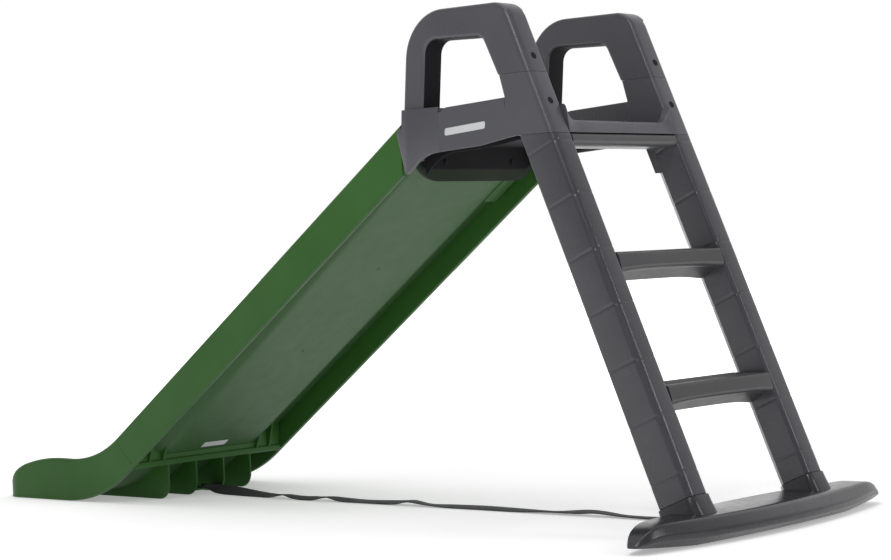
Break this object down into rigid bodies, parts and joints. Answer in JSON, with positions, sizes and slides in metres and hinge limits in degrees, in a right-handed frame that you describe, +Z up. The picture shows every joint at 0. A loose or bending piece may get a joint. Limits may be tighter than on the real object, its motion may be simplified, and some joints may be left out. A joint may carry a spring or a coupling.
{
  "type": "toddler garden slide",
  "caption": "Straight toddler slide: green chute with low side walls, dark grey deck with hand grips, leaning ladder on a wide foot bar, and a floor strap that keeps the ends together.",
  "frame": {"origin": "centre of the plan outline, on the floor", "axes": "+X towards the ladder and the foot bar, -X towards the chute's lip, +Y to the right of a child who faces down the chute, +Z up; Y = 0 is the plane of symmetry"},
  "size_m": [1.6315, 0.612, 0.7828],
  "materials": {
    "chute_plastic": "smooth moulded, slightly glossy",
    "frame_plastic": "smooth moulded, slightly glossy",
    "grip_plastic": "smooth moulded, slightly glossy",
    "step_plastic": "smooth moulded, slightly glossy",
    "webbing": "woven flat webbing",
    "screw_steel": "black coated",
    "label_film": "plain printed film"
  },
  "bodies": {
    "root": {"chute": "chute_plastic", "platform": "frame_plastic", "grip_left": "grip_plastic", "grip_right": "grip_plastic", "rail_left": "frame_plastic", "rail_right": "frame_plastic", "step_lower": "step_plastic", "step_upper": "step_plastic", "top_crossbar": "step_plastic", "foot_bar": "frame_plastic", "strap": "webbing", "strap_anchor_front": "screw_steel", "strap_anchor_rear": "screw_steel", "grip_screw_left": "screw_steel", "grip_screw_right": "screw_steel", "post_screw_left": "screw_steel", "post_screw_right": "screw_steel", "foot_screw_left": "screw_steel", "foot_screw_right": "screw_steel", "chute_screw_left": "screw_steel", "chute_screw_right": "screw_steel", "blank_label": "label_film", "badge_left": "label_film", "badge_right": "label_film"}
  },
  "joints": []
}
